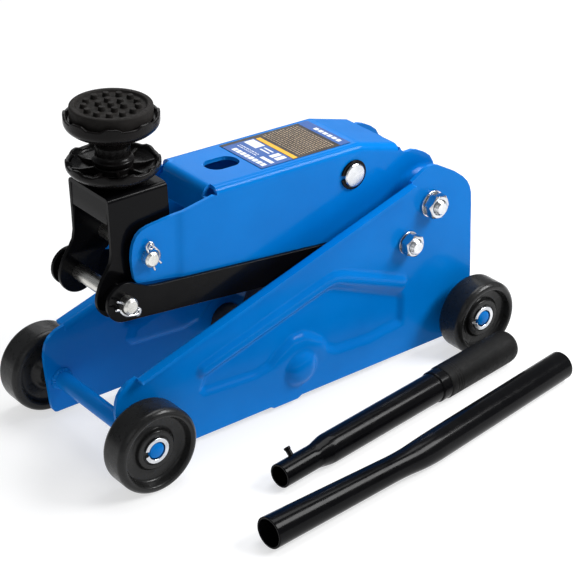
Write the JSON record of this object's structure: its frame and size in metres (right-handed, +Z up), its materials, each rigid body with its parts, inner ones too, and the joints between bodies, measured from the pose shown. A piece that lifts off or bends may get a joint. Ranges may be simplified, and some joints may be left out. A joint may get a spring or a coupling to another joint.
{
  "type": "hydraulic floor jack",
  "caption": "Low hydraulic floor jack with pressed side plates, a folded lift arm, a turning saddle with a lift-out rubber-padded extension, and a two-piece handle beside it.",
  "frame": {"origin": "centre of the bounding box of the jack and its handle, at floor level", "axes": "+X along the jack from the saddle end to the handle socket end, +Z up, the handle pieces lie on the -Y side"},
  "size_m": [0.5215, 0.3664, 0.355],
  "materials": {
    "blue_paint": "gloss",
    "black_paint": "gloss",
    "wheel_black": "satin",
    "zinc": "zinc plated",
    "bare_steel": "ground",
    "cast_iron": "painted casting",
    "rubber": "matte",
    "label": "printed film"
  },
  "bodies": {
    "chassis": {"side_plate_left": "blue_paint", "side_plate_right": "blue_paint", "front_axle": "blue_paint", "rear_axle": "blue_paint", "front_axle_ring_left": "zinc", "front_axle_ring_right": "zinc", "rear_axle_ring_left": "zinc", "rear_axle_ring_right": "zinc", "arm_pivot_bolt": "zinc", "arm_pivot_nut": "zinc", "arm_pivot_washer": "zinc", "arm_pivot_spacer_left": "zinc", "arm_pivot_spacer_right": "zinc", "link_pivot_bolt": "zinc", "link_pivot_nut": "zinc", "link_pivot_washer": "zinc", "link_pivot_spacer_left": "zinc", "link_pivot_spacer_right": "zinc"},
    "lift_arm": {"lift_arm": "blue_paint", "ram_pin": "zinc", "ram_pin_ring": "black_paint", "ram_pin_sleeve": "bare_steel", "arm_label": "label", "upper_head_pin": "zinc", "upper_head_clip": "zinc"},
    "link_arms": {"link_arm_left": "black_paint", "link_arm_right": "black_paint"},
    "saddle_bracket": {"saddle_bracket": "black_paint", "lower_head_pin": "zinc", "lower_head_clip": "zinc"},
    "base_saddle": {"base_saddle": "black_paint", "base_saddle_clip": "bare_steel"},
    "extension_saddle": {"extension_saddle": "black_paint", "rubber_pad": "rubber"},
    "front_wheel_left": {"front_wheel_left": "wheel_black"},
    "front_wheel_right": {"front_wheel_right": "wheel_black"},
    "rear_wheel_left": {"rear_wheel_left": "wheel_black"},
    "rear_wheel_right": {"rear_wheel_right": "wheel_black"},
    "power_unit": {"pump_body": "cast_iron", "reservoir_tube": "cast_iron", "pressure_cylinder": "bare_steel", "cylinder_top_nut": "black_paint", "filler_plug": "rubber", "pump_barrel": "bare_steel", "overload_valve_plug": "zinc", "socket_pivot_pin": "zinc", "socket_pin_ring": "bare_steel"},
    "ram": {"ram": "bare_steel", "ram_seal": "rubber", "ram_head": "bare_steel"},
    "handle_socket": {"handle_socket": "black_paint", "socket_clamp_screw": "zinc"},
    "pump_plunger": {"pump_plunger": "bare_steel"},
    "release_valve": {"release_valve": "zinc"},
    "upper_handle": {"upper_handle_tube": "black_paint", "handle_lock_peg": "zinc", "grip_collar": "black_paint", "handle_grip": "rubber"},
    "lower_handle": {"lower_handle_tube": "black_paint"}
  },
  "joints": [
    {"name": "lift", "type": "hinge", "parent": "chassis", "child": "lift_arm", "pos_m": [0.1609, 0.0735, 0.1768], "axis": [0, 1, 0], "range_deg": [-16, 36]},
    {"name": "link_swing", "type": "hinge", "parent": "chassis", "child": "link_arms", "pos_m": [0.1297, 0.0735, 0.1414], "axis": [0, 1, 0], "range_deg": [-16.5, 36.5]},
    {"name": "bracket_level", "type": "hinge", "parent": "lift_arm", "child": "saddle_bracket", "pos_m": [-0.1769, 0.0735, 0.2125], "axis": [0, 1, 0], "range_deg": [-36.5, 16.5]},
    {"name": "saddle_turn", "type": "hinge", "parent": "saddle_bracket", "child": "base_saddle", "pos_m": [-0.1837, 0.0735, 0.29], "axis": [0, 0, 1], "continuous": true},
    {"name": "extension_lift_out", "type": "slide", "parent": "base_saddle", "child": "extension_saddle", "axis": [0, 0, 1], "range_m": [0, 0.08]},
    {"name": "unit_tilt", "type": "hinge", "parent": "chassis", "child": "power_unit", "pos_m": [-0.0097, 0.0735, 0.0412], "axis": [0, 1, 0], "range_deg": [-1.9, 4.1]},
    {"name": "ram_stroke", "type": "slide", "parent": "power_unit", "child": "ram", "axis": [0.3954, 0, 0.9185], "range_m": [-0.027, 0.0605]},
    {"name": "pump_stroke", "type": "hinge", "parent": "power_unit", "child": "handle_socket", "pos_m": [0.1363, 0.0735, 0.066], "axis": [0, -1, 0], "range_deg": [0, 33]},
    {"name": "plunger_stroke", "type": "slide", "parent": "power_unit", "child": "pump_plunger", "axis": [0, 0, 1], "range_m": [0, 0.0175]},
    {"name": "release_turn", "type": "hinge", "parent": "power_unit", "child": "release_valve", "pos_m": [0.1793, 0.0525, 0.048], "axis": [1, 0, 0], "range_deg": [0, 270]},
    {"name": "front_wheel_left_roll", "type": "hinge", "parent": "chassis", "child": "front_wheel_left", "pos_m": [-0.2157, -0.0195, 0.045], "axis": [0, 1, 0], "continuous": true},
    {"name": "front_wheel_right_roll", "type": "hinge", "parent": "chassis", "child": "front_wheel_right", "pos_m": [-0.2157, 0.1665, 0.045], "axis": [0, 1, 0], "continuous": true},
    {"name": "rear_wheel_left_roll", "type": "hinge", "parent": "chassis", "child": "rear_wheel_left", "pos_m": [0.2087, -0.0195, 0.0418], "axis": [0, 1, 0], "continuous": true},
    {"name": "rear_wheel_right_roll", "type": "hinge", "parent": "chassis", "child": "rear_wheel_right", "pos_m": [0.2087, 0.1665, 0.0418], "axis": [0, 1, 0], "continuous": true},
    {"name": "upper_handle_pick_up", "type": "slide", "parent": "chassis", "child": "upper_handle", "axis": [0, 0, 1], "range_m": [0, 0.3]},
    {"name": "lower_handle_pick_up", "type": "slide", "parent": "chassis", "child": "lower_handle", "axis": [0, 0, 1], "range_m": [0, 0.3]}
  ],
  "couplings": [
    {"joint": "link_swing", "follows": "lift", "ratio": 1},
    {"joint": "bracket_level", "follows": "lift", "ratio": -1},
    {"joint": "unit_tilt", "follows": "lift", "ratio": 0.11},
    {"joint": "ram_stroke", "follows": "lift", "m_per_rad": 0.0951},
    {"joint": "plunger_stroke", "follows": "pump_stroke", "m_per_rad": 0.03}
  ]
}
